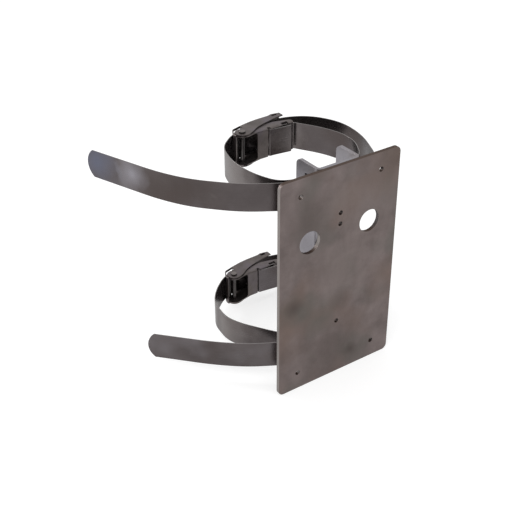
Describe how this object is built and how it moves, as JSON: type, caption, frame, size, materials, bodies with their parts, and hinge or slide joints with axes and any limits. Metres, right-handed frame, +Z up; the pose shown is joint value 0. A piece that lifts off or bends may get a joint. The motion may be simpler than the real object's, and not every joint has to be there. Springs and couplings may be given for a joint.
{
  "type": "detector pole mount bracket",
  "caption": "Flat steel mounting plate with a channel saddle behind it and steel bands with lever buckles that clamp it to a pole.",
  "frame": {"origin": "centre of the four corner holes, on the plate's front face", "axes": "+X along the plate's width, +Y from the plate towards the pole, +Z up along the pole"},
  "size_m": [0.2033, 0.161, 0.2],
  "materials": {
    "plate_steel": "mill-finish stainless sheet, bead-blasted, with blotchy brown-grey tone",
    "saddle_steel": "mill-finish stainless sheet, bent",
    "band_steel": "cold-rolled stainless strip, faintly brushed along its length",
    "buckle_steel": "pressed stainless sheet, tumbled",
    "pin_steel": "drawn stainless rod, bright"
  },
  "bodies": {
    "bracket": {"mounting_plate": "plate_steel", "pole_saddle": "saddle_steel", "upper_band": "band_steel", "lower_band": "band_steel", "upper_buckle_frame": "buckle_steel", "lower_buckle_frame": "buckle_steel", "upper_pivot_pin": "pin_steel", "lower_pivot_pin": "pin_steel", "upper_guide_pin": "pin_steel", "lower_guide_pin": "pin_steel"},
    "upper_lever": {"upper_lever": "buckle_steel"},
    "lower_lever": {"lower_lever": "buckle_steel"}
  },
  "joints": [
    {"name": "upper_lever_pivot", "type": "hinge", "parent": "bracket", "child": "upper_lever", "pos_m": [-0.02, 0.1082, 0.0765], "axis": [0, 0, 1], "range_deg": [0, 90]},
    {"name": "lower_lever_pivot", "type": "hinge", "parent": "bracket", "child": "lower_lever", "pos_m": [-0.0193, 0.1269, -0.075], "axis": [0, 0, 1], "range_deg": [0, 90]}
  ]
}
